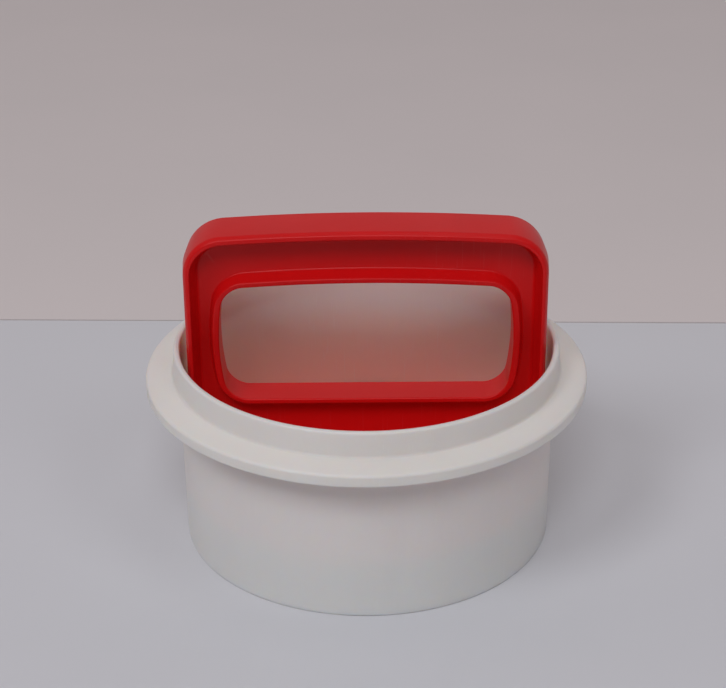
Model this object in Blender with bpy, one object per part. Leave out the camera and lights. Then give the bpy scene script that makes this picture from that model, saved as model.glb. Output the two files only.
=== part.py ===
"""Patty press: a white ring, a red plunger (grip handle on a round plate) and a shallow patty tray.

Units are metres and +Z is up. The origin is on the ring's axis, on the surface that the press stands on.
The grip handle's wide side faces -Y and +Y.
"""

from math import cos, hypot, pi, sin, sqrt

import bmesh
import bpy

MM = 0.001

# ---- driving dimensions -------------------------------------------------------------------------

SEGMENTS = 72                    # steps round every turned piece
GAP = 0.3 * MM                   # between pieces that rest on each other

RING_HEIGHT = 63.5 * MM
RING_BORE_R = 56.3 * MM          # at the foot; the bore widens upwards so that the plunger drops in
BORE_MIDDLE_R = 56.7 * MM
BORE_MIDDLE_Z = 40.0 * MM
BORE_SHOULDER_R = 57.2 * MM
BORE_SHOULDER_Z = 54.0 * MM
COLLAR_BORE_R = 57.9 * MM
BODY_FOOT_R = 57.9 * MM
BODY_TOP_R = 58.5 * MM
COLLAR_FOOT_R = 60.2 * MM
COLLAR_TOP_R = 59.7 * MM
FLANGE_R = 68.6 * MM
FLANGE_LIP_WALL = 1.8 * MM
FLANGE_CREASE_Z = 55.7 * MM      # where the flange meets the collar
FLANGE_LIP_TOP_Z = 54.4 * MM
FLANGE_LIP_FOOT_Z = 50.8 * MM
FLANGE_THICKNESS = 1.9 * MM

TRAY_R = RING_BORE_R - 0.5 * MM
TRAY_HEIGHT = 13.0 * MM
TRAY_WALL = 1.4 * MM
TRAY_FLOOR = 1.5 * MM
TRAY_FOOT_WIDTH = 5.0 * MM
TRAY_FOOT_DEPTH = 0.5 * MM       # how far the middle of the floor is raised above the foot

PLUNGER_R = RING_BORE_R - GAP
PLATE_FOOT_Z = TRAY_HEIGHT + GAP
PLATE_THICKNESS = 3.0 * MM
PLATE_SKIRT_HEIGHT = 6.0 * MM
PLATE_SKIRT_WALL = 1.8 * MM
RIB_PITCH = 9.0 * MM             # concentric release ribs under the plate
RIB_HALF_WIDTH = 0.9 * MM
RIB_DEPTH = 0.5 * MM
RIB_COUNT = 5
RAIL_HALF_LENGTH = 18.0 * MM     # hooked rails on the plate that hold the handle's foot
RAIL_WALL = 1.8 * MM
RAIL_HOOK_REACH = 1.2 * MM
RAIL_HOOK_HEIGHT = 0.8 * MM

HANDLE_TOP_Z = 102.9 * MM
HANDLE_ARCH = 1.35 * MM          # how far the top falls from its middle to its corners
HANDLE_CORNER_R = 13.0 * MM
HANDLE_HALF_DEPTH = 8.3 * MM
HANDLE_HALF_WIDTH = 55.75 * MM
HANDLE_FOOT_HALF_WIDTH = 53.0 * MM
HANDLE_SHOULDER_Z = PLATE_FOOT_Z + PLATE_SKIRT_HEIGHT + GAP
HANDLE_FOOT_Z = PLATE_FOOT_Z + PLATE_THICKNESS + GAP
OUTER_BAND = 2.1 * MM            # wall of the band that runs round the outside, at its faces
OUTER_BAND_DRAFT = 1.7 * MM      # how much thicker that wall is at the web
OUTER_EDGE = 0.9 * MM            # bevel on that band's edges
WEB_HALF = 1.25 * MM             # half the thickness of the web between the two bands
INNER_BAND_HALF_DEPTH = 5.7 * MM
INNER_BAND_FACE = (1.6 * MM, 2.0 * MM, 1.6 * MM)        # above, beside and below the window
INNER_BAND_ROOT = (3.35 * MM, 3.0 * MM, 2.6 * MM)       # the same where the band meets the web

WINDOW_HALF_WIDTH = 42.8 * MM    # at its four corners, before the sides bow out
WINDOW_SIDE_BOW = 2.4 * MM
WINDOW_TOP_Z = 85.1 * MM
WINDOW_ARCH = 1.3 * MM
WINDOW_FOOT_Z = 45.7 * MM
WINDOW_CORNER_R = 6.0 * MM

TOP_STEPS = 12                   # steps along the parts of each outline of the handle
CORNER_STEPS = 6
SIDE_STEPS = 8


# ---- helpers ------------------------------------------------------------------------------------

def clear_scene():
    for existing in list(bpy.data.objects):
        bpy.data.objects.remove(existing, do_unlink=True)


def plastic(name, colour, roughness):
    material = bpy.data.materials.new(name)
    material.use_nodes = True
    shader = material.node_tree.nodes["Principled BSDF"]
    shader.inputs["Base Color"].default_value = (*colour, 1.0)
    shader.inputs["Roughness"].default_value = roughness
    shader.inputs["Metallic"].default_value = 0.0
    return material


def add_object(name, bm, material, smooth_under=35.0):
    """Turn a finished bmesh into a named object, shaded smooth up to the given edge angle."""
    bmesh.ops.recalc_face_normals(bm, faces=bm.faces)
    mesh = bpy.data.meshes.new(name)
    bm.to_mesh(mesh)
    bm.free()
    mesh.materials.append(material)
    mesh.shade_smooth()
    mesh.set_sharp_from_angle(angle=smooth_under * pi / 180.0)
    result = bpy.data.objects.new(name, mesh)
    bpy.context.scene.collection.objects.link(result)
    return result


def eased(corner, before, after, reach):
    """The two ends of a bevel that takes off a corner of an outline, as (r, z) pairs."""
    ends = []
    for neighbour in (before, after):
        along = (neighbour[0] - corner[0], neighbour[1] - corner[1])
        share = reach / hypot(*along)
        ends.append((corner[0] + along[0] * share, corner[1] + along[1] * share))
    return ends


def outline(corners):
    """An outline from (r, z, bevel) triples; a bevel of 0 leaves that corner sharp."""
    points = []
    for index, (r, z, bevel) in enumerate(corners):
        if bevel == 0:
            points.append((r, z))
            continue
        before = corners[index - 1]
        after = corners[(index + 1) % len(corners)]
        points.extend(eased((r, z), before[:2], after[:2], bevel))
    return points


def turned_ring(profile):
    """Spin a closed (r, z) outline that stays off the axis round Z."""
    bm = bmesh.new()
    rows = []
    for segment in range(SEGMENTS):
        angle = 2 * pi * segment / SEGMENTS
        rows.append([bm.verts.new((r * cos(angle), r * sin(angle), z)) for r, z in profile])
    for segment in range(SEGMENTS):
        here, there = rows[segment], rows[(segment + 1) % SEGMENTS]
        for index in range(len(profile)):
            following = (index + 1) % len(profile)
            bm.faces.new((here[index], there[index], there[following], here[following]))
    return bm


def turned_disc(profile):
    """Spin an open (r, z) outline whose first and last points are on the axis round Z."""
    bm = bmesh.new()
    first = bm.verts.new((0, 0, profile[0][1]))
    last = bm.verts.new((0, 0, profile[-1][1]))
    middle = profile[1:-1]
    rows = []
    for segment in range(SEGMENTS):
        angle = 2 * pi * segment / SEGMENTS
        rows.append([bm.verts.new((r * cos(angle), r * sin(angle), z)) for r, z in middle])
    for segment in range(SEGMENTS):
        here, there = rows[segment], rows[(segment + 1) % SEGMENTS]
        bm.faces.new((first, there[0], here[0]))
        for index in range(len(middle) - 1):
            bm.faces.new((here[index], there[index], there[index + 1], here[index + 1]))
        bm.faces.new((last, here[-1], there[-1]))
    return bm


def prism(profile, half_length):
    """A closed bmesh: a (y, z) outline extruded along X to both sides of the middle."""
    bm = bmesh.new()
    ends = [[bm.verts.new((x, y, z)) for y, z in profile] for x in (-half_length, half_length)]
    bm.faces.new(ends[0])
    bm.faces.new(list(reversed(ends[1])))
    for index in range(len(profile)):
        following = (index + 1) % len(profile)
        bm.faces.new((ends[0][index], ends[1][index], ends[1][following], ends[0][following]))
    bmesh.ops.recalc_face_normals(bm, faces=bm.faces)
    return bm


def fuse(target, name, tool_bm):
    """Join a closed bmesh to an object with an exact Boolean union."""
    mesh = bpy.data.meshes.new(name)
    tool_bm.to_mesh(mesh)
    tool_bm.free()
    tool = bpy.data.objects.new(name, mesh)
    bpy.context.scene.collection.objects.link(tool)
    tool.display_type = "WIRE"
    tool.hide_render = True
    union = target.modifiers.new(name, "BOOLEAN")
    union.operation = "UNION"
    union.solver = "EXACT"
    union.object = tool


# ---- ring ---------------------------------------------------------------------------------------

def ring_profile():
    lip_inner_r = FLANGE_R - FLANGE_LIP_WALL
    underside_z = FLANGE_CREASE_Z - FLANGE_THICKNESS
    return outline([
        (COLLAR_BORE_R, RING_HEIGHT, 0.6 * MM),
        (COLLAR_TOP_R, RING_HEIGHT, 0.6 * MM),
        (COLLAR_FOOT_R, FLANGE_CREASE_Z, 0),
        (FLANGE_R, FLANGE_LIP_TOP_Z, 1.0 * MM),
        (FLANGE_R, FLANGE_LIP_FOOT_Z, 0.3 * MM),
        (lip_inner_r, FLANGE_LIP_FOOT_Z, 0),
        (lip_inner_r, underside_z - 0.9 * MM, 0),
        (BODY_TOP_R, underside_z, 0.7 * MM),
        (BODY_FOOT_R, 0.0, 0.4 * MM),
        (RING_BORE_R, 0.0, 0.4 * MM),
        (BORE_MIDDLE_R, BORE_MIDDLE_Z, 0),
        (BORE_SHOULDER_R, BORE_SHOULDER_Z, 0),
    ])


def make_ring(material):
    return add_object("press_ring", turned_ring(ring_profile()), material)


# ---- tray ---------------------------------------------------------------------------------------

def make_tray(material):
    inner_r = TRAY_R - TRAY_WALL
    foot_inner_r = inner_r - TRAY_FOOT_WIDTH
    floor_top_z = TRAY_FLOOR + TRAY_FOOT_DEPTH
    section = outline([
        (0.0, floor_top_z, 0),
        (inner_r, floor_top_z, 1.2 * MM),
        (inner_r, TRAY_HEIGHT, 0.3 * MM),
        (TRAY_R, TRAY_HEIGHT, 0.3 * MM),
        (TRAY_R, 0.0, 1.2 * MM),
        (foot_inner_r, 0.0, 0),
        (foot_inner_r - TRAY_FOOT_DEPTH, TRAY_FOOT_DEPTH, 0),
        (0.0, TRAY_FOOT_DEPTH, 0),
    ])
    return add_object("patty_tray", turned_disc(section), material)


# ---- plunger: plate -----------------------------------------------------------------------------

def plate_section():
    """From the middle of the plate's top, over its skirt, to the middle of its ribbed underside."""
    top_z = PLATE_FOOT_Z + PLATE_THICKNESS
    skirt_z = PLATE_FOOT_Z + PLATE_SKIRT_HEIGHT
    skirt_inner_r = PLUNGER_R - PLATE_SKIRT_WALL
    groove_z = PLATE_FOOT_Z + RIB_DEPTH
    points = outline([
        (0.0, top_z, 0),
        (skirt_inner_r, top_z, 0.4 * MM),
        (skirt_inner_r, skirt_z, 0.3 * MM),
        (PLUNGER_R, skirt_z, 0.3 * MM),
        (PLUNGER_R, PLATE_FOOT_Z, 0.5 * MM),
        ((RIB_COUNT + 0.5) * RIB_PITCH, PLATE_FOOT_Z, 0),
    ])
    points.append(((RIB_COUNT + 0.5) * RIB_PITCH - RIB_DEPTH, groove_z))
    for rib in range(RIB_COUNT, 0, -1):
        rib_r = rib * RIB_PITCH
        points.append((rib_r + RIB_HALF_WIDTH, groove_z))
        points.append((rib_r, PLATE_FOOT_Z))
        points.append((rib_r - RIB_HALF_WIDTH, groove_z))
    points.append((0.0, groove_z))
    return points


def rail_section(side):
    """A hooked rail in (y, z), on the front (side -1) or back (side +1) of the handle's foot."""
    near_y = HANDLE_HALF_DEPTH + GAP
    hook_y = near_y - RAIL_HOOK_REACH
    far_y = near_y + RAIL_WALL
    hook_z = HANDLE_FOOT_Z + OUTER_BAND + 2 * GAP
    hook_top_z = hook_z + RAIL_HOOK_HEIGHT
    root_z = PLATE_FOOT_Z + PLATE_THICKNESS - GAP
    corners = [
        (near_y, root_z),
        (near_y, hook_z),
        (hook_y, hook_z),
        (hook_y, hook_top_z),
        (near_y, hook_top_z + RAIL_HOOK_REACH),
        (far_y, hook_top_z + RAIL_HOOK_REACH),
        (far_y, root_z),
    ]
    return [(side * y, z) for y, z in corners]


def make_plate(material):
    plate = add_object("press_plate", turned_disc(plate_section()), material)
    for side, place in ((-1, "front"), (1, "back")):
        fuse(plate, "foot_rail_" + place, prism(rail_section(side), RAIL_HALF_LENGTH))


# ---- plunger: grip handle -----------------------------------------------------------------------

def arch_z(x, half_width, crown_z, arch):
    return crown_z - arch * (x / half_width) ** 2


def quarter(centre_x, centre_z, radius_x, radius_z, start, end, steps):
    """Points along a quarter of an ellipse, from the start angle to just before the end angle."""
    points = []
    for step in range(steps):
        angle = start + (end - start) * step / steps
        points.append((centre_x + radius_x * cos(angle), centre_z + radius_z * sin(angle)))
    return points


def straight(start, end, steps):
    """Points along a line, from its start to just before its end."""
    return [(start[0] + (end[0] - start[0]) * step / steps, start[1] + (end[1] - start[1]) * step / steps)
            for step in range(steps)]


def outer_outline(inset):
    """The handle's front view in (x, z), moved inwards by inset: clockwise from the top left corner."""
    half = HANDLE_HALF_WIDTH - inset
    foot_half = HANDLE_FOOT_HALF_WIDTH - inset
    shoulder_z = HANDLE_SHOULDER_Z + inset
    foot_z = HANDLE_FOOT_Z + inset
    crown_z = HANDLE_TOP_Z - inset
    radius = HANDLE_CORNER_R - inset
    corner_x = HANDLE_HALF_WIDTH - HANDLE_CORNER_R
    corner_z = arch_z(corner_x, corner_x, HANDLE_TOP_Z, HANDLE_ARCH) - HANDLE_CORNER_R
    right = []
    for step in range(TOP_STEPS // 2):
        x = corner_x * 2 * step / TOP_STEPS
        right.append((x, arch_z(x, corner_x, crown_z, HANDLE_ARCH)))
    right += quarter(corner_x, corner_z, radius, radius, pi / 2, 0.0, CORNER_STEPS)
    right += straight((half, corner_z), (half, shoulder_z), SIDE_STEPS)
    right += straight((half, shoulder_z), (foot_half, shoulder_z), CORNER_STEPS // 2)
    right += straight((foot_half, shoulder_z), (foot_half, foot_z), CORNER_STEPS // 2)
    right += straight((foot_half, foot_z), (0.0, foot_z), TOP_STEPS // 2)
    return mirrored(right, foot_z)


def window_outline(outset_top, outset_side, outset_foot):
    """The window's edge in (x, z), moved outwards by different amounts above, beside and below it."""
    crown_z = WINDOW_TOP_Z + outset_top
    foot_z = WINDOW_FOOT_Z - outset_foot
    half = WINDOW_HALF_WIDTH + outset_side
    radius = WINDOW_CORNER_R + outset_side
    corner_x = half - radius
    top_z = arch_z(corner_x, corner_x, crown_z, WINDOW_ARCH) - radius
    right = []
    for step in range(TOP_STEPS // 2):
        x = corner_x * 2 * step / TOP_STEPS
        right.append((x, arch_z(x, corner_x, crown_z, WINDOW_ARCH)))
    right += quarter(corner_x, top_z, radius, radius, pi / 2, 0.0, CORNER_STEPS)
    right += straight((half, top_z), (half, foot_z + radius), SIDE_STEPS)
    right += quarter(corner_x, foot_z + radius, radius, radius, 0.0, -pi / 2, CORNER_STEPS)
    right += straight((corner_x, foot_z), (0.0, foot_z), TOP_STEPS // 2)
    bowed = []
    middle_z = (crown_z + foot_z) / 2
    half_height = (crown_z - foot_z) / 2
    for x, z in right:
        bulge = 1 - ((z - middle_z) / half_height) ** 2
        bowed.append((x + WINDOW_SIDE_BOW * bulge * x / half, z))
    return mirrored(bowed, foot_z)


def mirrored(right, foot_z):
    """Close the right half of an outline, from the top middle to the foot's middle, with its left half."""
    left = [(-x, z) for x, z in reversed(right[1:])]
    return right + [(0.0, foot_z)] + left


def make_handle(material):
    """Sweep an H-shaped section round the window, from one outline to the next."""
    rim = outer_outline(0.0)
    rim_edge = outer_outline(OUTER_EDGE)
    rim_inside = outer_outline(OUTER_BAND)
    rim_root = outer_outline(OUTER_BAND + OUTER_BAND_DRAFT)
    sill_root = window_outline(*INNER_BAND_ROOT)
    sill_outside = window_outline(*INNER_BAND_FACE)
    sill = window_outline(0.0, 0.0, 0.0)
    face_y = HANDLE_HALF_DEPTH
    front_half = [
        (rim, 0.0),
        (rim, face_y - OUTER_EDGE),
        (rim_edge, face_y),
        (rim_inside, face_y),
        (rim_root, WEB_HALF),
        (sill_root, WEB_HALF),
        (sill_outside, INNER_BAND_HALF_DEPTH),
        (sill, INNER_BAND_HALF_DEPTH),
    ]
    section = [(line, -y) for line, y in front_half] + [(line, y) for line, y in reversed(front_half[1:])]
    bm = bmesh.new()
    rows = []
    for station in range(len(rim)):
        row = []
        for line, y in section:
            x, z = line[station]
            reach = sqrt(PLUNGER_R ** 2 - y ** 2)
            x = max(-reach, min(reach, x))
            row.append(bm.verts.new((x, y, z)))
        rows.append(row)
    for station, here in enumerate(rows):
        there = rows[(station + 1) % len(rows)]
        for index in range(len(section)):
            following = (index + 1) % len(section)
            bm.faces.new((here[index], there[index], there[following], here[following]))
    return add_object("grip_handle", bm, material)


# ---- the press ----------------------------------------------------------------------------------

def main():
    clear_scene()
    white = plastic("white_plastic", (0.72, 0.70, 0.69), 0.42)
    red = plastic("red_plastic", (0.58, 0.025, 0.025), 0.36)
    natural = plastic("tray_plastic", (0.80, 0.79, 0.77), 0.45)
    make_ring(white)
    make_tray(natural)
    make_plate(red)
    make_handle(red)


main()
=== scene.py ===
"""Looks of the patty press: a white flanged ring, a red plunger (grip handle and plate) and a tray.

Units are metres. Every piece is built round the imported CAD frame: heights and radii come from the frame's
boxes, and the walls, fillets and edges that the plain CAD solids leave out are the named sizes below.
"""

from math import cos, pi, radians, sin, sqrt, tan

import bmesh
import bpy
from mathutils import Euler, Matrix, Vector


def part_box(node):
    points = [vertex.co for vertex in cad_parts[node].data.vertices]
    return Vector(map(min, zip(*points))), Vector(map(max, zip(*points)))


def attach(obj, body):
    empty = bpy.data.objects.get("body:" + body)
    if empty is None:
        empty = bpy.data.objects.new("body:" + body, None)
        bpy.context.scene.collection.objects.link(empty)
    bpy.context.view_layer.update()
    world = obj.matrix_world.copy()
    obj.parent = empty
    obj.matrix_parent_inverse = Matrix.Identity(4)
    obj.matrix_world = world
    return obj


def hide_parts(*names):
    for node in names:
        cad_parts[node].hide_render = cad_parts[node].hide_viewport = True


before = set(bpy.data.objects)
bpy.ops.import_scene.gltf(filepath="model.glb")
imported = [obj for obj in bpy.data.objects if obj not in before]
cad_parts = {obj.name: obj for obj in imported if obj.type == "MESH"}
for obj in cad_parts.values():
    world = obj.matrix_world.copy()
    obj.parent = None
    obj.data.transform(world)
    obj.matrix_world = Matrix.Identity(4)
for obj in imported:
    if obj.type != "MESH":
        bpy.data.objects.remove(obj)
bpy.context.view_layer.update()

MM = 0.001

# ---- sizes read from the frame -------------------------------------------------------------------

RING_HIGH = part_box("press_ring")[1]
HANDLE_LOW, HANDLE_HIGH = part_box("grip_handle")
PLATE_LOW, PLATE_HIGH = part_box("press_plate")
TRAY_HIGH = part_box("patty_tray")[1]

FLANGE_R = RING_HIGH.x
RING_HEIGHT = RING_HIGH.z
PLUNGER_R = PLATE_HIGH.x
TRAY_R = TRAY_HIGH.x
TRAY_HEIGHT = TRAY_HIGH.z
PLATE_FOOT_Z = PLATE_LOW.z
RAIL_TOP_Z = PLATE_HIGH.z
HANDLE_TOP_Z = HANDLE_HIGH.z
HANDLE_FOOT_Z = HANDLE_LOW.z
HANDLE_HALF = HANDLE_HIGH.x
HANDLE_HALF_DEPTH = HANDLE_HIGH.y

# ---- ring ----------------------------------------------------------------------------------------

BODY_TOP_R = FLANGE_R - 10.1 * MM
BODY_FOOT_R = FLANGE_R - 10.7 * MM
BORE_R = PLUNGER_R + 0.3 * MM
COLLAR_BORE_R = BORE_R + 1.6 * MM
COLLAR_FOOT_R = FLANGE_R - 8.4 * MM
COLLAR_TOP_R = FLANGE_R - 8.9 * MM
FLANGE_CREASE_Z = RING_HEIGHT - 7.8 * MM
FLANGE_CREASE_R = 2.2 * MM
FLANGE_CROWN = 0.45 * MM
FLANGE_EDGE_TOP_Z = RING_HEIGHT - 9.1 * MM
FLANGE_EDGE_FOOT_Z = RING_HEIGHT - 12.7 * MM
FLANGE_WALL = 1.9 * MM
LIP_WALL = 1.8 * MM

# ---- handle --------------------------------------------------------------------------------------

ARCH = 1.35 * MM
CORNER_R = 13.0 * MM
FOOT_INSET = 2.75 * MM
SHOULDER_STEP = 3.0 * MM
OUTER_BAND = 1.9 * MM            # how far in the outer band's faces end at the sides
OUTER_BAND_EXTRA = 0.5 * MM      # and how much further in the front face ends at the top
OUTER_DRAFT = 2.4 * MM           # how much thicker that band is at the web
BAND_EDGE_R = 0.3 * MM
BACK_EDGE_R = 0.8 * MM
TAPER = 0.15 * MM                # the front edge draws in by this much, and then by a rounded shoulder
TAPER_R = 2.0 * MM
SHOULDER = 0.85 * MM
SHOULDER_DEPTH = 1.3 * MM
SHOULDER_R = 0.7 * MM
WEB_HALF = 1.25 * MM
WEB_FILLET = 1.4 * MM
WEB_MARGIN = 1.5 * MM            # flat web kept beside the outer band's fillet
FRAME_FACE_Y = 5.7 * MM
FRAME_EDGE_R = 0.5 * MM
FRAME_FACE = (1.6 * MM, 2.0 * MM, 1.6 * MM)     # width above, beside and below the window
FRAME_DRAFT = (1.75 * MM, 1.0 * MM, 1.0 * MM)   # how much wider it is at the web
WINDOW_TOP_Z = HANDLE_TOP_Z - 17.8 * MM
WINDOW_FOOT_Z = HANDLE_TOP_Z - 57.2 * MM
WINDOW_HALF = HANDLE_HALF - 12.95 * MM
WINDOW_BOW = 2.4 * MM
WINDOW_ARCH = 1.3 * MM
WINDOW_CORNER_R = 6.0 * MM

TOP_STEPS = 40
CORNER_STEPS = 14
SIDE_STEPS = 26
TURN_STEPS = 288
ARC_STEPS = 7
EDGE_GUARD = 0.15 * MM           # a guard point beside each fillet keeps the flats beside it flat


# ---- outlines ------------------------------------------------------------------------------------

def fillet(corner, before, after, radius, steps):
    """The arc that rounds one corner of an outline, from the side before it to the side after it."""
    corner, before, after = Vector(corner), Vector(before), Vector(after)
    to_before = (before - corner).normalized()
    to_after = (after - corner).normalized()
    half_angle = to_before.angle(to_after) / 2
    reach = radius / tan(half_angle)
    reach = min(reach, (before - corner).length * 0.49, (after - corner).length * 0.49)
    radius = reach * tan(half_angle)
    centre = corner + (to_before + to_after).normalized() * (radius / sin(half_angle))
    start = corner + to_before * reach - centre
    sweep = start.angle_signed(corner + to_after * reach - centre)
    points = [corner + to_before * (reach + EDGE_GUARD)]
    for step in range(steps + 1):
        points.append(centre + Matrix.Rotation(-sweep * step / steps, 2) @ start)
    points.append(corner + to_after * (reach + EDGE_GUARD))
    return [tuple(point) for point in points]


def rounded_outline(corners, closed=True, steps=ARC_STEPS):
    """An outline from (r, z, radius) triples, with each corner rounded to its radius."""
    points = []
    for index, (r, z, radius) in enumerate(corners):
        at_end = not closed and index in (0, len(corners) - 1)
        if radius == 0 or at_end:
            points.append((r, z))
            continue
        before = corners[index - 1][:2]
        after = corners[(index + 1) % len(corners)][:2]
        points.extend(fillet((r, z), before, after, radius, steps))
    return points


def finish_mesh(name, bm, smooth_under=40.0):
    bmesh.ops.recalc_face_normals(bm, faces=bm.faces)
    mesh = bpy.data.meshes.new(name)
    bm.to_mesh(mesh)
    bm.free()
    mesh.shade_smooth()
    mesh.set_sharp_from_angle(angle=radians(smooth_under))
    piece = bpy.data.objects.new(name, mesh)
    bpy.context.scene.collection.objects.link(piece)
    return piece


def turned(name, profile, solid_middle=False):
    """Spin an (r, z) outline round Z. With solid_middle its first and last points are on the axis."""
    bm = bmesh.new()
    middle = profile[1:-1] if solid_middle else profile
    rows = []
    for step in range(TURN_STEPS):
        angle = 2 * pi * step / TURN_STEPS
        rows.append([bm.verts.new((r * cos(angle), r * sin(angle), z)) for r, z in middle])
    if solid_middle:
        first = bm.verts.new((0, 0, profile[0][1]))
        last = bm.verts.new((0, 0, profile[-1][1]))
    for step, here in enumerate(rows):
        there = rows[(step + 1) % TURN_STEPS]
        for index in range(len(middle) - 1):
            bm.faces.new((here[index], there[index], there[index + 1], here[index + 1]))
        if solid_middle:
            bm.faces.new((first, there[0], here[0]))
            bm.faces.new((last, here[-1], there[-1]))
        else:
            bm.faces.new((here[-1], there[-1], there[0], here[0]))
    return finish_mesh(name, bm)


# ---- ring ----------------------------------------------------------------------------------------

def flange_top(steps=6):
    """The flange's slightly crowned top, from the collar's foot out to the edge."""
    points = []
    for step in range(1, steps):
        t = step / steps
        r = COLLAR_FOOT_R + (FLANGE_R - COLLAR_FOOT_R) * t
        z = FLANGE_CREASE_Z + (FLANGE_EDGE_TOP_Z - FLANGE_CREASE_Z) * t + FLANGE_CROWN * 4 * t * (1 - t)
        points.append((r, z, 0))
    return points


def bore(steps=12):
    """The bore from just above its foot to just under the rim: it widens a little faster as it rises."""
    points = []
    for step in range(1, steps):
        t = step / steps
        points.append((BORE_R + (COLLAR_BORE_R - BORE_R) * t ** 1.8, RING_HEIGHT * t, 0))
    return points


def make_ring():
    lip_r = FLANGE_R - LIP_WALL
    underside_z = FLANGE_CREASE_Z - FLANGE_WALL
    corners = [
        (COLLAR_BORE_R, RING_HEIGHT, 0.8 * MM),
        (COLLAR_TOP_R, RING_HEIGHT, 0.85 * MM),
        (COLLAR_FOOT_R, FLANGE_CREASE_Z, FLANGE_CREASE_R),
        *flange_top(),
        (FLANGE_R, FLANGE_EDGE_TOP_Z, 1.3 * MM),
        (FLANGE_R, FLANGE_EDGE_FOOT_Z, 0.5 * MM),
        (lip_r, FLANGE_EDGE_FOOT_Z, 0.5 * MM),
        (lip_r, underside_z - 0.9 * MM, 0.7 * MM),
        (BODY_TOP_R, underside_z, 1.0 * MM),
        (BODY_FOOT_R, 0.0, 0.5 * MM),
        (BORE_R, 0.0, 0.5 * MM),
        *bore(),
    ]
    piece = turned("ring_moulding", rounded_outline(corners))
    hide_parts("press_ring")
    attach(piece, "ring")
    return piece


# ---- handle --------------------------------------------------------------------------------------

def arch_z(x, half, crown_z, arch):
    return crown_z - arch * (x / half) ** 2


def quarter(centre_x, centre_z, radius_x, radius_z, start, end):
    """Points round a quarter of an ellipse, from start to just before end."""
    points = []
    for step in range(CORNER_STEPS):
        angle = start + (end - start) * step / CORNER_STEPS
        points.append((centre_x + radius_x * cos(angle), centre_z + radius_z * sin(angle)))
    return points


def straight(start, end, steps):
    """Points along a line, from start to just before end."""
    points = []
    for step in range(steps):
        t = step / steps
        points.append((start[0] + (end[0] - start[0]) * t, start[1] + (end[1] - start[1]) * t))
    return points


def mirrored(right, foot_z):
    left = [(-x, z) for x, z in reversed(right[1:])]
    return right + [(0.0, foot_z)] + left


def outer_outline(inset, extra):
    """The handle's front view in (x, z), moved inwards by inset, and by up to extra more at the top."""
    drop = inset + extra * min(inset / OUTER_BAND, 1.0)
    half = HANDLE_HALF - inset
    foot_half = HANDLE_HALF - FOOT_INSET - inset
    shoulder_z = HANDLE_FOOT_Z + SHOULDER_STEP + inset
    foot_z = HANDLE_FOOT_Z + inset
    corner_x = HANDLE_HALF - CORNER_R
    corner_z = HANDLE_TOP_Z - ARCH - CORNER_R
    right = []
    for step in range(TOP_STEPS // 2):
        x = corner_x * 2 * step / TOP_STEPS
        right.append((x, arch_z(x, corner_x, HANDLE_TOP_Z - drop, ARCH)))
    right += quarter(corner_x, corner_z, CORNER_R - inset, CORNER_R - drop, pi / 2, 0.0)
    right += straight((half, corner_z), (half, shoulder_z), SIDE_STEPS)
    right += straight((half, shoulder_z), (foot_half, shoulder_z), CORNER_STEPS // 2)
    right += straight((foot_half, shoulder_z), (foot_half, foot_z), CORNER_STEPS // 2)
    right += straight((foot_half, foot_z), (0.0, foot_z), TOP_STEPS // 2)
    return mirrored(right, foot_z)


def window_outline(top, side, foot):
    """The window's edge in (x, z), moved outwards by these amounts above, beside and below it."""
    crown_z = WINDOW_TOP_Z + top
    foot_z = WINDOW_FOOT_Z - foot
    half = WINDOW_HALF + side
    radius = WINDOW_CORNER_R + side
    corner_x = half - radius
    top_z = crown_z - WINDOW_ARCH - radius
    right = []
    for step in range(TOP_STEPS // 2):
        x = corner_x * 2 * step / TOP_STEPS
        right.append((x, arch_z(x, corner_x, crown_z, WINDOW_ARCH)))
    right += quarter(corner_x, top_z, radius, radius, pi / 2, 0.0)
    right += straight((half, top_z), (half, foot_z + radius), SIDE_STEPS)
    right += quarter(corner_x, foot_z + radius, radius, radius, 0.0, -pi / 2)
    right += straight((corner_x, foot_z), (0.0, foot_z), TOP_STEPS // 2)
    middle_z = (WINDOW_TOP_Z + WINDOW_FOOT_Z) / 2
    half_height = (WINDOW_TOP_Z - WINDOW_FOOT_Z) / 2
    bowed = []
    for x, z in right:
        bulge = 1 - ((z - middle_z) / half_height) ** 2
        bowed.append((x + WINDOW_BOW * bulge * x / half, z))
    return mirrored(bowed, foot_z)


def frame_line(across, beyond):
    """The window's edge moved out by a share of the frame's face and a share of its draft."""
    return window_outline(*(across * face + beyond * draft for face, draft in zip(FRAME_FACE, FRAME_DRAFT)))


def handle_section(in_front):
    """Half of the handle's section, from its outermost line to the window, as (outline, y, wraps)."""
    edge = [(0.0, HANDLE_HALF_DEPTH, BACK_EDGE_R)]
    extra = 0.0
    if in_front:
        edge = [
            (TAPER, HANDLE_HALF_DEPTH - SHOULDER_DEPTH, TAPER_R),
            (SHOULDER, HANDLE_HALF_DEPTH, SHOULDER_R),
        ]
        extra = OUTER_BAND_EXTRA
    band = rounded_outline([
        (0.0, 0.0, 0),
        *edge,
        (OUTER_BAND, HANDLE_HALF_DEPTH, BAND_EDGE_R),
        (OUTER_BAND + OUTER_DRAFT, WEB_HALF, WEB_FILLET),
        (OUTER_BAND + OUTER_DRAFT + WEB_MARGIN, WEB_HALF, 0),
    ], closed=False)
    face, draft = FRAME_FACE[1], FRAME_DRAFT[1]
    sill = rounded_outline([
        (face + 2 * draft, WEB_HALF, 0),
        (face + draft, WEB_HALF, WEB_FILLET),
        (face, FRAME_FACE_Y, FRAME_EDGE_R),
        (0.0, FRAME_FACE_Y, FRAME_EDGE_R),
        (0.0, 0.0, 0),
    ], closed=False)
    rows = [(outer_outline(inset, extra), y, True) for inset, y in band]
    for out, y in sill:
        across = min(out / face, 1.0)
        rows.append((frame_line(across, max(out - face, 0.0) / draft), y, False))
    return rows


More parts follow.
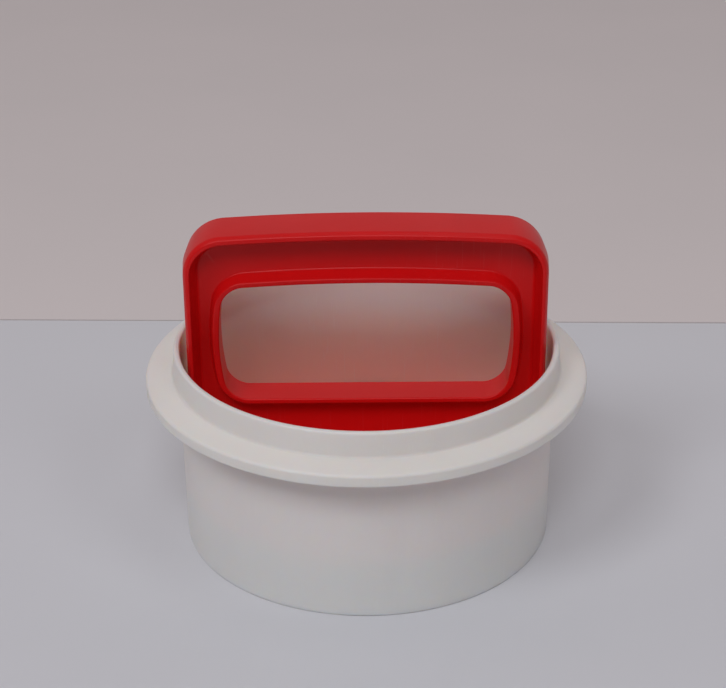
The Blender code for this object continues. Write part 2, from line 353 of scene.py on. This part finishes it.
def make_handle():
    section = [(line, -y, wraps) for line, y, wraps in handle_section(in_front=True)]
    section += [(line, y, wraps) for line, y, wraps in reversed(handle_section(in_front=False)[1:-1])]
    bm = bmesh.new()
    rows = []
    for station in range(len(section[0][0])):
        row = []
        for line, y, wraps in section:
            x, z = line[station]
            if wraps:
                x *= sqrt(PLUNGER_R ** 2 - y ** 2) / PLUNGER_R
            row.append(bm.verts.new((x, y, z)))
        rows.append(row)
    for station, here in enumerate(rows):
        there = rows[(station + 1) % len(rows)]
        for index in range(len(section)):
            following = (index + 1) % len(section)
            bm.faces.new((here[index], there[index], there[following], here[following]))
    piece = finish_mesh("handle_moulding", bm)
    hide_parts("grip_handle")
    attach(piece, "plunger")
    return piece


# ---- plate ---------------------------------------------------------------------------------------

PLATE_THICKNESS = 3.0 * MM
SKIRT_HEIGHT = 6.0 * MM
SKIRT_WALL = 1.8 * MM
RIB_PITCH = 9.0 * MM
RIB_HALF = 0.9 * MM
RIB_DEPTH = 0.5 * MM
RIB_COUNT = 5
RAIL_HALF_LENGTH = 18.0 * MM
RAIL_WALL = 1.8 * MM
RAIL_REACH = 1.2 * MM
RAIL_GAP = 0.3 * MM


def plate_outline():
    top_z = PLATE_FOOT_Z + PLATE_THICKNESS
    skirt_z = PLATE_FOOT_Z + SKIRT_HEIGHT
    inner_r = PLUNGER_R - SKIRT_WALL
    groove_z = PLATE_FOOT_Z + RIB_DEPTH
    margin_r = (RIB_COUNT + 0.5) * RIB_PITCH
    corners = [
        (0.0, top_z, 0),
        (inner_r, top_z, 0.5 * MM),
        (inner_r, skirt_z, 0.4 * MM),
        (PLUNGER_R, skirt_z, 0.4 * MM),
        (PLUNGER_R, PLATE_FOOT_Z, 0.8 * MM),
        (margin_r, PLATE_FOOT_Z, 0.3 * MM),
        (margin_r - RIB_DEPTH, groove_z, 0.2 * MM),
    ]
    for rib in range(RIB_COUNT, 0, -1):
        rib_r = rib * RIB_PITCH
        corners.append((rib_r + RIB_HALF, groove_z, 0.2 * MM))
        corners.append((rib_r, PLATE_FOOT_Z, 0.4 * MM))
        corners.append((rib_r - RIB_HALF, groove_z, 0.2 * MM))
    corners.append((0.0, groove_z, 0))
    return rounded_outline(corners, closed=False, steps=4)


def make_rail(name, side):
    """A hooked rail on the plate that the handle's foot snaps under."""
    near_y = HANDLE_HALF_DEPTH + RAIL_GAP
    hook_y = near_y - RAIL_REACH
    far_y = near_y + RAIL_WALL
    shoulder_z = RAIL_TOP_Z - RAIL_REACH
    hook_z = shoulder_z - 0.8 * MM
    root_z = PLATE_FOOT_Z + PLATE_THICKNESS - RAIL_GAP
    profile = rounded_outline([
        (near_y, root_z, 0),
        (near_y, hook_z, 0.2 * MM),
        (hook_y, hook_z, 0.2 * MM),
        (hook_y, shoulder_z, 0.3 * MM),
        (near_y, RAIL_TOP_Z, 0.4 * MM),
        (far_y, RAIL_TOP_Z, 0.5 * MM),
        (far_y, root_z, 0),
    ], steps=4)
    bm = bmesh.new()
    ends = []
    for x in (-RAIL_HALF_LENGTH, RAIL_HALF_LENGTH):
        ends.append([bm.verts.new((x, side * y, z)) for y, z in profile])
    bm.faces.new(ends[0])
    bm.faces.new(list(reversed(ends[1])))
    for index in range(len(profile)):
        following = (index + 1) % len(profile)
        bm.faces.new((ends[0][index], ends[1][index], ends[1][following], ends[0][following]))
    return finish_mesh(name, bm)


def make_plate():
    piece = turned("plate_moulding", plate_outline(), solid_middle=True)
    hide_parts("press_plate")
    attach(piece, "plunger")
    pieces = [piece]
    for side, place in ((-1, "front"), (1, "back")):
        rail = make_rail("foot_rail_" + place, side)
        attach(rail, "plunger")
        pieces.append(rail)
    return pieces


# ---- tray ----------------------------------------------------------------------------------------

TRAY_WALL = 1.4 * MM
TRAY_FLOOR = 1.5 * MM
TRAY_FOOT_WIDTH = 5.0 * MM
TRAY_FOOT_DEPTH = 0.5 * MM


def make_tray():
    inner_r = TRAY_R - TRAY_WALL
    foot_r = inner_r - TRAY_FOOT_WIDTH
    floor_z = TRAY_FLOOR + TRAY_FOOT_DEPTH
    corners = [
        (0.0, floor_z, 0),
        (inner_r, floor_z, 1.6 * MM),
        (inner_r, TRAY_HEIGHT, 0.4 * MM),
        (TRAY_R, TRAY_HEIGHT, 0.4 * MM),
        (TRAY_R, 0.0, 1.6 * MM),
        (foot_r, 0.0, 0.3 * MM),
        (foot_r - TRAY_FOOT_DEPTH, TRAY_FOOT_DEPTH, 0.3 * MM),
        (0.0, TRAY_FOOT_DEPTH, 0),
    ]
    piece = turned("tray_moulding", rounded_outline(corners, closed=False), solid_middle=True)
    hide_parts("patty_tray")
    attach(piece, "tray_base")
    return piece


# ---- materials -----------------------------------------------------------------------------------

PAINTED_BOUNCE_RADII = (57.5 * MM, 57.8 * MM)      # the painted red bounce light on the bore is full inside the first and gone at the second
PAINTED_BOUNCE_HEIGHTS = (20.0 * MM, 50.0 * MM)    # and is full below the first and gone above the second

class Nodes:
    """Short calls for building one material's node tree."""

    def __init__(self, material):
        material.use_nodes = True
        self.tree = material.node_tree
        self.shader = self.tree.nodes["Principled BSDF"]
        self.place = self.add("ShaderNodeTexCoord").outputs["Object"]

    def add(self, kind, **settings):
        node = self.tree.nodes.new(kind)
        for name, value in settings.items():
            setattr(node, name, value)
        return node

    def link(self, source, target):
        self.tree.links.new(source, target)

    def stretched(self, scale, turn=(0, 0, 0)):
        """Object coordinates, turned and then scaled differently along each axis."""
        mapping = self.add("ShaderNodeMapping")
        self.link(self.place, mapping.inputs["Vector"])
        mapping.inputs["Rotation"].default_value = turn
        mapping.inputs["Scale"].default_value = scale
        return mapping.outputs["Vector"]

    def noise(self, scale, detail=2.0, vector=None, rough=0.5):
        node = self.add("ShaderNodeTexNoise")
        self.link(vector or self.place, node.inputs["Vector"])
        node.inputs["Scale"].default_value = scale
        node.inputs["Detail"].default_value = detail
        node.inputs["Roughness"].default_value = rough
        return node.outputs["Fac"]

    def span(self, source, low, high, to_low=0.0, to_high=1.0):
        node = self.add("ShaderNodeMapRange", clamp=True)
        self.link(source, node.inputs["Value"])
        for name, value in (("From Min", low), ("From Max", high), ("To Min", to_low), ("To Max", to_high)):
            node.inputs[name].default_value = value
        return node.outputs["Result"]

    def maths(self, operation, first, second):
        node = self.add("ShaderNodeMath", operation=operation)
        for socket, value in zip(node.inputs, (first, second)):
            if isinstance(value, (int, float)):
                socket.default_value = value
            else:
                self.link(value, socket)
        return node.outputs["Value"]

    def mix(self, factor, first, second):
        """Colour mix; first and second are colour tuples or colour sockets."""
        node = self.add("ShaderNodeMix", data_type="RGBA")
        self.link(factor, node.inputs["Factor"])
        for name, value in (("A", first), ("B", second)):
            socket = next(s for s in node.inputs if s.name == name and s.type == "RGBA")
            if isinstance(value, tuple):
                socket.default_value = (*value, 1.0)
            else:
                self.link(value, socket)
        return next(s for s in node.outputs if s.type == "RGBA")

    def scratches(self, length_turn, density):
        """Sparse hairline scratches, running along Z after length_turn, about density strong."""
        lines = self.noise(1.0, 2.0, self.stretched((2600, 2600, 45), length_turn))
        patches = self.noise(28.0, 2.0)
        sparse = self.span(patches, 0.45, 0.62)
        return self.maths("MULTIPLY", self.span(lines, 0.66 - density, 0.70 - density), sparse)

    def painted_bounce_mask(self):
        """1 on the lower part of the ring's bore, where red bounce light from the plate is painted, fading
        to 0 near its rim.
        """
        from_axis = self.add("ShaderNodeVectorMath", operation="LENGTH")
        self.link(self.stretched((1, 1, 0)), from_axis.inputs[0])
        within = self.span(from_axis.outputs["Value"], *PAINTED_BOUNCE_RADII, 1.0, 0.0)
        height = self.add("ShaderNodeSeparateXYZ")
        self.link(self.place, height.inputs["Vector"])
        low = self.span(height.outputs["Z"], *PAINTED_BOUNCE_HEIGHTS, 1.0, 0.0)
        return self.maths("MULTIPLY", within, low)


def moulded_plastic(name, colour, shade, worn, roughness, gloss, translucency, scatter_radius, painted_red_bounce=None):
    """Satin moulded plastic: cloudy colour, fine grain, hairline scratches and slightly worn edges, plus
    painted red bounce light on the lower bore when that colour is given.
    """
    material = bpy.data.materials.new(name)
    nodes = Nodes(material)
    shader = nodes.shader
    cloud = nodes.span(nodes.noise(22.0, 4.0), 0.3, 0.7)
    flow = nodes.span(nodes.noise(1.0, 3.0, nodes.stretched((60, 60, 9))), 0.35, 0.65)
    tone = nodes.mix(nodes.maths("MULTIPLY", cloud, flow), colour, shade)
    if painted_red_bounce:
        # painted red bounce light from the plate, mixed into the colour of the lower bore
        tone = nodes.mix(nodes.painted_bounce_mask(), tone, painted_red_bounce)
    scratches = nodes.maths(
        "MAXIMUM",
        nodes.scratches((0.12, 0.05, 0.0), 0.0),
        nodes.scratches((radians(78), 0.2, 0.4), -0.01),
    )
    pointiness = nodes.add("ShaderNodeNewGeometry").outputs["Pointiness"]
    edge = nodes.span(pointiness, 0.53, 0.60)
    rub = nodes.maths("MULTIPLY", edge, nodes.span(nodes.noise(120.0, 4.0), 0.42, 0.62))
    marks = nodes.maths(
        "MAXIMUM",
        nodes.maths("MULTIPLY", scratches, 0.35),
        nodes.maths("MULTIPLY", rub, 0.5),
    )
    nodes.link(nodes.mix(marks, tone, worn), shader.inputs["Base Color"])
    smear = nodes.span(nodes.noise(35.0, 5.0), 0.3, 0.7, roughness - 0.04, roughness + 0.05)
    nodes.link(nodes.maths("ADD", smear, nodes.maths("MULTIPLY", marks, 0.25)), shader.inputs["Roughness"])
    grain = nodes.noise(2400.0, 2.0)
    orange_peel = nodes.noise(260.0, 2.0)
    height = nodes.maths("ADD", nodes.maths("MULTIPLY", grain, 0.25), orange_peel)
    height = nodes.maths("SUBTRACT", height, nodes.maths("MULTIPLY", scratches, 0.8))
    bump = nodes.add("ShaderNodeBump")
    bump.inputs["Strength"].default_value = 0.12
    bump.inputs["Distance"].default_value = 0.00025
    nodes.link(height, bump.inputs["Height"])
    nodes.link(bump.outputs["Normal"], shader.inputs["Normal"])
    shader.inputs["IOR"].default_value = 1.5
    shader.inputs["Specular IOR Level"].default_value = gloss
    shader.inputs["Subsurface Weight"].default_value = translucency
    shader.inputs["Subsurface Radius"].default_value = scatter_radius
    shader.inputs["Subsurface Scale"].default_value = 1.0 * MM
    return material


def plain_surface(name, colour, variation, roughness):
    """The table and the board: nearly even, with a faint large cloudiness."""
    material = bpy.data.materials.new(name)
    nodes = Nodes(material)
    cloud = nodes.span(nodes.noise(9.0, 4.0), 0.3, 0.7)
    nodes.link(nodes.mix(cloud, colour, variation), nodes.shader.inputs["Base Color"])
    nodes.shader.inputs["Roughness"].default_value = roughness
    return material


# ---- stage, light and camera ---------------------------------------------------------------------

TABLE_REACH = 4.0
TABLE_THICKNESS = 0.02
SEAM_Y = 143.4 * MM
SEAM_TURN = radians(-1.6)
SEAM_WIDTH = 1.0 * MM
LIGHT_DISTANCE = 2.6
LIGHT_SIZE = 0.84
LIGHT_AIM = Vector((0.0, 0.0, 0.05))
LIGHTS = (                       # name, azimuth and elevation in degrees, watts
    ("front_left_softbox", -45, 48, 14.6),
    ("front_softbox", -4, 48, 15.0),
    ("front_right_softbox", 45, 48, 5.0),
    ("ceiling_softbox", 90, 84, 2.4),
)


def slab(name, low, high):
    bm = bmesh.new()
    bmesh.ops.create_cube(bm, size=1.0)
    for vert in bm.verts:
        for axis in range(3):
            vert.co[axis] = (low[axis] + high[axis]) / 2 + vert.co[axis] * (high[axis] - low[axis])
    return finish_mesh(name, bm)


def make_stage():
    """A pale table, with a warmer board that carries on behind it after a narrow seam."""
    table = slab("table", (-TABLE_REACH, -TABLE_REACH, -TABLE_THICKNESS), (TABLE_REACH, SEAM_Y, 0.0))
    table_paint = plain_surface("table_paint", (0.72, 0.728, 0.76), (0.705, 0.713, 0.745), 0.55)
    table.data.materials.append(table_paint)
    board_low = (-TABLE_REACH, SEAM_Y + SEAM_WIDTH, -TABLE_THICKNESS)
    board = slab("board", board_low, (TABLE_REACH, TABLE_REACH, 0.0))
    board_paint = plain_surface("board_paint", (0.76, 0.70, 0.69), (0.74, 0.685, 0.675), 0.8)
    board.data.materials.append(board_paint)
    pivot = Matrix.Translation((0, SEAM_Y, 0))
    for obj in (table, board):
        obj.matrix_world = pivot @ Matrix.Rotation(SEAM_TURN, 4, "Z") @ pivot.inverted()


def softbox(name, azimuth, elevation, power):
    """A square light that faces the object, at an azimuth from the front and an elevation, in degrees."""
    light = bpy.data.lights.new(name, "AREA")
    light.shape = "SQUARE"
    light.size = LIGHT_SIZE
    light.energy = power
    light.color = (1.0, 1.0, 1.04)
    holder = bpy.data.objects.new(name, light)
    bpy.context.scene.collection.objects.link(holder)
    turn, rise = radians(azimuth), radians(elevation)
    away = Vector((cos(rise) * sin(turn), -cos(rise) * cos(turn), sin(rise)))
    holder.location = LIGHT_AIM + away * LIGHT_DISTANCE
    holder.rotation_euler = away.to_track_quat("Z", "Y").to_euler()


def make_light():
    """Softboxes in front and overhead, in a dim room whose far side glows like a pale wall."""
    world = bpy.data.worlds.new("soft_room")
    world.use_nodes = True
    nodes, links = world.node_tree.nodes, world.node_tree.links
    direction = nodes.new("ShaderNodeTexCoord")
    split = nodes.new("ShaderNodeSeparateXYZ")
    links.new(direction.outputs["Generated"], split.inputs["Vector"])
    ramp = nodes.new("ShaderNodeValToRGB")
    ramp.color_ramp.interpolation = "EASE"
    shift = nodes.new("ShaderNodeMath")
    shift.operation = "MULTIPLY_ADD"
    shift.inputs[1].default_value = 0.5
    shift.inputs[2].default_value = 0.5
    links.new(split.outputs["Y"], shift.inputs[0])
    links.new(shift.outputs["Value"], ramp.inputs["Fac"])
    dim, glow = ramp.color_ramp.elements
    dim.position, dim.color = 0.42, (0.055, 0.055, 0.058, 1.0)
    glow.position, glow.color = 0.62, (0.40, 0.355, 0.355, 1.0)
    links.new(ramp.outputs["Color"], nodes["Background"].inputs["Color"])
    bpy.context.scene.world = world
    for light in LIGHTS:
        softbox(*light)


CAMERA_TARGET = Vector((-1.0, 0.0, 61.85)) * MM
CAMERA_DISTANCE = 590.46 * MM
CAMERA_ELEVATION = radians(26.52)
CAMERA_ROLL = radians(-0.451)
CAMERA_LENS = 94.21


def make_camera():
    data = bpy.data.cameras.new("camera")
    data.sensor_width = 36.0
    data.lens = CAMERA_LENS
    camera = bpy.data.objects.new("camera", data)
    bpy.context.scene.collection.objects.link(camera)
    back = Vector((0, -cos(CAMERA_ELEVATION), sin(CAMERA_ELEVATION)))
    camera.location = CAMERA_TARGET + back * CAMERA_DISTANCE
    upright = Euler((pi / 2 - CAMERA_ELEVATION, 0, 0)).to_matrix()
    camera.rotation_euler = (upright @ Matrix.Rotation(CAMERA_ROLL, 3, "Z")).to_euler()
    bpy.context.scene.camera = camera


# ---- the picture ---------------------------------------------------------------------------------

def main():
    white = moulded_plastic(
        "white_plastic", (0.852, 0.825, 0.79), (0.822, 0.795, 0.76), (0.89, 0.88, 0.86),
        # the last colour is painted red bounce light from the plate on the lower bore
        0.40, 0.5, 0.75, (2.8, 2.2, 1.7), painted_red_bounce=(0.94, 0.70, 0.62),
    )
    red = moulded_plastic(
        "red_plastic", (0.72, 0.006, 0.007), (0.67, 0.005, 0.006), (0.74, 0.08, 0.08),
        0.33, 0.22, 0.08, (1.0, 0.15, 0.12),
    )
    plate_red = moulded_plastic(
        "plate_plastic", (0.88, 0.010, 0.010), (0.84, 0.009, 0.009), (0.88, 0.08, 0.08),
        0.36, 0.3, 0.08, (1.0, 0.15, 0.12),
    )
    natural = moulded_plastic(
        "tray_plastic", (0.70, 0.69, 0.67), (0.66, 0.65, 0.63), (0.75, 0.74, 0.72),
        0.42, 0.5, 0.30, (1.0, 0.9, 0.8),
    )
    make_ring().data.materials.append(white)
    make_handle().data.materials.append(red)
    for piece in make_plate():
        piece.data.materials.append(plate_red)
    make_tray().data.materials.append(natural)
    make_stage()
    make_light()
    make_camera()
    view = bpy.context.scene.view_settings
    view.view_transform = "Standard"


main()
